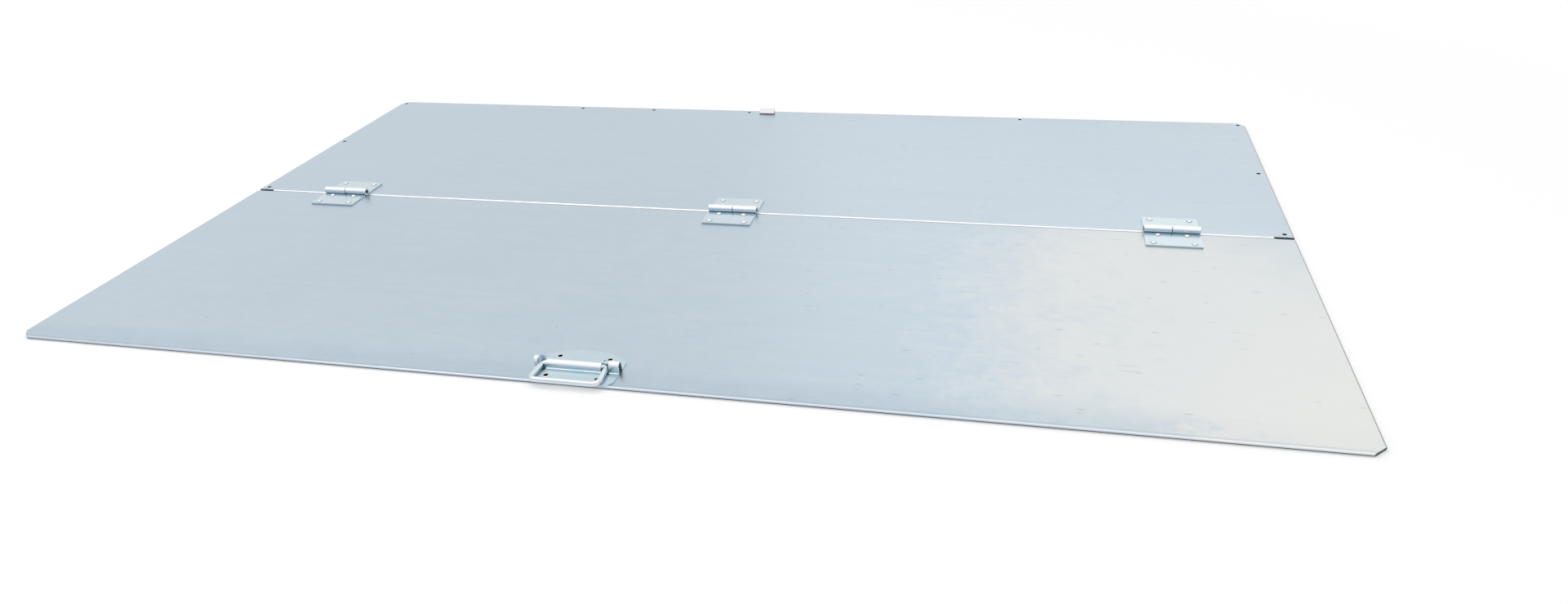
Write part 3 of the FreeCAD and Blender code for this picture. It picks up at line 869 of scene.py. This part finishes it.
def add_camera(stage):
    """The camera at the picture's viewing angle."""
    camera = bpy.data.objects.new("camera", bpy.data.cameras.new("camera"))
    camera.data.sensor_width = SENSOR_WIDTH
    camera.data.lens = stage.lens
    camera.data.clip_start = NEAREST_SEEN
    camera.matrix_world = camera_matrix(stage)
    bpy.context.scene.collection.objects.link(camera)
    bpy.context.scene.camera = camera


def add_softbox(name, brightness, place, target, size, tint):
    """A rectangular soft lamp of an even brightness, aimed at a point."""
    width, height = size
    lamp = bpy.data.lights.new(name, "AREA")
    lamp.shape = "RECTANGLE"
    lamp.size = width
    lamp.size_y = height
    lamp.energy = brightness * math.pi * width * height
    lamp.color = tint
    obj = bpy.data.objects.new(name, lamp)
    obj.location = place
    obj.rotation_euler = (Vector(target) - Vector(place)).to_track_quat("-Z", "Y").to_euler()
    obj.visible_camera = False
    bpy.context.scene.collection.objects.link(obj)


def seen_directly(tree):
    """1 where the camera, a reflection or a see-through ray looks, 0 for light that falls on surfaces."""
    rays = add_node(tree, "ShaderNodeLightPath")
    kinds = ("Is Camera Ray", "Is Glossy Ray", "Is Transmission Ray")
    return strongest(tree, *(rays.outputs[kind] for kind in kinds))


def set_world(stage):
    """A white world, dimmer where it lights dull surfaces and where metal mirrors the room in front."""
    world = bpy.data.worlds.new("studio")
    world.use_nodes = True
    tree = world.node_tree
    tree.nodes.clear()
    lit = add_node(tree, "ShaderNodeBackground", {"Color": opaque(WHITE), "Strength": stage.ambient})
    way = add_node(tree, "ShaderNodeTexCoord").outputs["Generated"]
    axes = add_node(tree, "ShaderNodeSeparateXYZ", {"Vector": way})
    ahead = fade(tree, axes.outputs["Y"], SHADE_AHEAD)
    low = fade(tree, axes.outputs["Z"], SHADE_LOW)
    mirrored = add_node(tree, "ShaderNodeLightPath").outputs["Is Glossy Ray"]
    tint = blend_colours(tree, times(tree, ahead, low, mirrored), opaque(WHITE), opaque(stage.front_shade))
    seen = add_node(tree, "ShaderNodeBackground", {"Color": tint, "Strength": 1.0})
    mixed = add_node(
        tree, "ShaderNodeMixShader", {0: seen_directly(tree), 1: lit.outputs[0], 2: seen.outputs[0]}
    )
    add_node(tree, "ShaderNodeOutputWorld", {"Surface": mixed.outputs[0]})
    bpy.context.scene.world = world


def floor_finish(stage):
    """Pale matt floor that reads as white away from the object's shadow."""
    material = bpy.data.materials.new("floor")
    material.use_nodes = True
    tree = material.node_tree
    tree.nodes.clear()
    matt = add_node(tree, "ShaderNodeBsdfDiffuse", {"Color": opaque(stage.floor_colour)})
    place = add_node(tree, "ShaderNodeTexCoord").outputs["Object"]
    away = add_node(tree, "ShaderNodeVectorMath", {0: place}, operation="LENGTH").outputs["Value"]
    lift = remap(tree, away, FLOOR_FADE_REACH, stage.floor_lift, stage.floor_fade)
    lift = times(tree, seen_directly(tree), lift)
    glow = add_node(tree, "ShaderNodeEmission", {"Color": opaque(WHITE), "Strength": lift})
    both = add_node(tree, "ShaderNodeAddShader", {0: matt.outputs[0], 1: glow.outputs[0]})
    add_node(tree, "ShaderNodeOutputMaterial", {"Surface": both.outputs[0]})
    return material


def add_floor(stage):
    """A wide round floor just under the cover."""
    mesh = bpy.data.meshes.new("floor")
    disc = bmesh.new()
    bmesh.ops.create_circle(disc, cap_ends=True, segments=FLOOR_SIDES, radius=FLOOR_RADIUS)
    disc.to_mesh(mesh)
    disc.free()
    mesh.materials.append(floor_finish(stage))
    floor = bpy.data.objects.new("floor", mesh)
    floor.location.z = -FLOOR_DROP
    bpy.context.scene.collection.objects.link(floor)


# Operators


def dress(names, material):
    """Gives CAD nodes a finish."""
    for name in names:
        frame["nodes"][name].material_slots[0].material = material


class COVER_OT_leaves(bpy.types.Operator):
    """Fold the front and rear leaves from galvanised sheet"""

    bl_idname = "access_cover.leaves"
    bl_label = "Leaves"

    def execute(self, context):
        settings = context.scene.access_cover
        sizes = settings.leaf
        materials = [GalvanisedSheet(settings.finish).build(), cut_edge(settings.finish)]
        front = FoldedLeaf(sizes, FRONT_LOW.y, FRONT_HIGH.y - FRONT_LOW.y, 1.0)
        rear = FoldedLeaf(sizes, REAR_HIGH.y, REAR_HIGH.y - REAR_LOW.y, -1.0)
        top_only, sunk = rivet_holes(sizes)
        through = {"front": [], "rear": fixing_holes()}
        for key, leaf, body in (("front", front, "lifting_leaf"), ("rear", rear, "fixed_leaf")):
            top = leaf.to_blank(through[key] + top_only[key])
            hem = leaf.to_blank(through[key] + sunk[key])
            obj = leaf_object(key + "_leaf_sheet", leaf, top, hem, materials)
            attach(obj, body)
            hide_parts(key + "_leaf")
        return {"FINISHED"}


class COVER_OT_hinge_plates(bpy.types.Operator):
    """Finish the rolled hinge plates"""

    bl_idname = "access_cover.hinge_plates"
    bl_label = "Hinge Plates"

    def execute(self, context):
        finish = context.scene.access_cover.finish
        plating = zinc_plating("hinge_zinc_plating", finish.hinge, finish.hinge_warm, rough=(0.15, 0.30))
        # Painted shade at the knuckles' foot and the plates' low edges, and a painted highlight on the
        # crowns
        paint_hinge_light_and_shade(plating, finish)
        dress([f"{hinge}_hinge_{leaf}_plate" for hinge in HINGES for leaf in LEAVES], plating)
        return {"FINISHED"}


class COVER_OT_hinge_pins(bpy.types.Operator):
    """Finish the hinge pins"""

    bl_idname = "access_cover.hinge_pins"
    bl_label = "Hinge Pins"

    def execute(self, context):
        finish = context.scene.access_cover.finish
        steel = zinc_plating("pin_drawn_steel", finish.pin, finish.pin_oiled, rough=(0.20, 0.32))
        dress([f"{hinge}_hinge_pin" for hinge in HINGES], steel)
        return {"FINISHED"}


class COVER_OT_hinge_rivets(bpy.types.Operator):
    """Finish the domed hinge rivets"""

    bl_idname = "access_cover.hinge_rivets"
    bl_label = "Hinge Rivets"

    def execute(self, context):
        finish = context.scene.access_cover.finish
        bright = zinc_plating("rivet_zinc_plating", finish.rivet, finish.rivet_worn, rough=(0.15, 0.26))
        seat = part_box("middle_hinge_front_rivets")[1].z - RIVET_RISE
        # Painted shade ring round the rivets' foot
        paint_foot_shade(bright, above(seat, RIVET_FOOT_SHADE), finish)
        dress([f"{hinge}_hinge_{leaf}_rivets" for hinge in HINGES for leaf in LEAVES], bright)
        return {"FINISHED"}


class COVER_OT_handle_plate(bpy.types.Operator):
    """Finish the stamped handle plate"""

    bl_idname = "access_cover.handle_plate"
    bl_label = "Handle Plate"

    def execute(self, context):
        finish = context.scene.access_cover.finish
        plating = zinc_plating("handle_plate_zinc", finish.handle, finish.handle_warm, rough=(0.18, 0.32))
        bail_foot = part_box("handle_bail")[0].z
        # Painted highlight along the crown of the handle's tunnel
        paint_crown_highlight(plating, above(bail_foot, TUNNEL_CROWN), finish)
        dress(["handle_plate"], plating)
        return {"FINISHED"}


class COVER_OT_handle_bail(bpy.types.Operator):
    """Finish the bent wire bail"""

    bl_idname = "access_cover.handle_bail"
    bl_label = "Handle Bail"

    def execute(self, context):
        finish = context.scene.access_cover.finish
        plating = zinc_plating("bail_zinc", finish.bail, finish.bail_worn, rough=(0.16, 0.28))
        dress(["handle_bail"], plating)
        return {"FINISHED"}


class COVER_OT_handle_rivets(bpy.types.Operator):
    """Finish the hollow handle rivets"""

    bl_idname = "access_cover.handle_rivets"
    bl_label = "Handle Rivets"

    def execute(self, context):
        finish = context.scene.access_cover.finish
        bright = zinc_plating("tube_rivet_zinc", finish.rivet, finish.rivet_worn, rough=(0.18, 0.30))
        # Painted shade inside the rivets' bores
        paint_bore_shade(bright, finish.bore)
        dress(["handle_rivets"], bright)
        return {"FINISHED"}


class COVER_OT_lug(bpy.types.Operator):
    """Finish the rear lug"""

    bl_idname = "access_cover.lug"
    bl_label = "Rear Lug"

    def execute(self, context):
        finish = context.scene.access_cover.finish
        steel = zinc_plating("lug_galvanised_steel", finish.lug, finish.lug_worn, rough=(0.32, 0.48))
        # Painted shade low down on the lug, just above the sheet
        paint_foot_shade(steel, above(FRONT_HIGH.z, LUG_FOOT_SHADE), finish)
        dress(["rear_lug"], steel)
        return {"FINISHED"}


class COVER_OT_stage(bpy.types.Operator):
    """Set up the floor, lamps, world and camera"""

    bl_idname = "access_cover.stage"
    bl_label = "Stage"

    def execute(self, context):
        stage = context.scene.access_cover.stage
        add_floor(stage)
        set_world(stage)
        add_softbox("overhead_softbox", stage.overhead, **OVERHEAD)
        add_softbox("window_softbox", stage.window, **WINDOW)
        add_softbox("key_softbox", stage.key, **KEY)
        add_camera(stage)
        context.scene.view_settings.view_transform = "Standard"
        return {"FINISHED"}


STEPS = (
    COVER_OT_leaves,
    COVER_OT_hinge_plates,
    COVER_OT_hinge_pins,
    COVER_OT_hinge_rivets,
    COVER_OT_handle_plate,
    COVER_OT_handle_bail,
    COVER_OT_handle_rivets,
    COVER_OT_lug,
    COVER_OT_stage,
)


class COVER_PT_panel(bpy.types.Panel):
    """The cover's operators and settings"""

    bl_idname = "COVER_PT_panel"
    bl_label = "Folding Access Cover"
    bl_space_type = "VIEW_3D"
    bl_region_type = "UI"
    bl_category = "Access Cover"

    def draw(self, context):
        for step in STEPS:
            self.layout.operator(step.bl_idname)
        settings = context.scene.access_cover
        for group in (settings.leaf, settings.finish, settings.stage):
            box = self.layout.box()
            for name in group.bl_rna.properties.keys():
                if name not in ("rna_type", "name"):
                    box.prop(group, name)


CLASSES = (LeafSizes, FinishColours, StageSettings, CoverSettings, *STEPS, COVER_PT_panel)


def register():
    """Adds the classes and the scene's settings."""
    for cls in CLASSES:
        bpy.utils.register_class(cls)
    bpy.types.Scene.access_cover = PointerProperty(type=CoverSettings)


def unregister():
    """Takes the classes and the scene's settings away."""
    del bpy.types.Scene.access_cover
    for cls in reversed(CLASSES):
        bpy.utils.unregister_class(cls)


def main():
    """Builds the cover and its stage."""
    register()
    bpy.ops.access_cover.leaves()
    bpy.ops.access_cover.hinge_plates()
    bpy.ops.access_cover.hinge_pins()
    bpy.ops.access_cover.hinge_rivets()
    bpy.ops.access_cover.handle_plate()
    bpy.ops.access_cover.handle_bail()
    bpy.ops.access_cover.handle_rivets()
    bpy.ops.access_cover.lug()
    bpy.ops.access_cover.stage()


if __name__ == "__main__":
    main()
